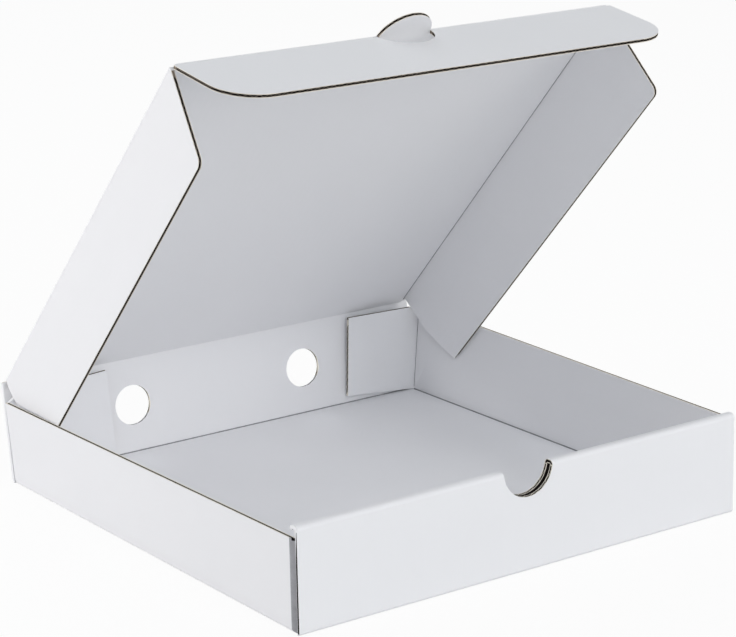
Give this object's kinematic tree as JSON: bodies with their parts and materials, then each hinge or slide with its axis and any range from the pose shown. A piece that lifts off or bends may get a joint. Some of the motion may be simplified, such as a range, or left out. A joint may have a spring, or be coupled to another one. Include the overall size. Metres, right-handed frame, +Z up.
{
  "type": "pizza box",
  "caption": "Small white folded card box with a roll-over front wall, vent holes, a finger notch and a hinged lid with side flaps and a tuck flap.",
  "frame": {"origin": "centre of the flat underside of the tray, midway between the outer faces of its walls at the bottom", "axes": "+Z up, the front wall with its finger notch faces -Y, the lid is hinged on the back wall at +Y, +X to the right as seen from the front"},
  "size_m": [0.2358, 0.2416, 0.2239],
  "materials": {
    "board": "matt white coated corrugated board"
  },
  "bodies": {
    "tray": {"tray": "board"},
    "lid": {"lid": "board"},
    "tuck_flap": {"tuck_flap": "board"}
  },
  "joints": [
    {"name": "lid_hinge", "type": "hinge", "parent": "tray", "child": "lid", "pos_m": [0, 0.12279, 0.04602], "axis": [-1, 0, 0], "range_deg": [-46.3, 50]},
    {"name": "tuck_crease", "type": "hinge", "parent": "lid", "child": "tuck_flap", "pos_m": [0, -0.03523, 0.2137], "axis": [-1, 0, 0], "range_deg": [-44.3, 47.8]}
  ],
  "couplings": [
    {"joint": "tuck_crease", "follows": "lid_hinge", "ratio": 0.955}
  ]
}
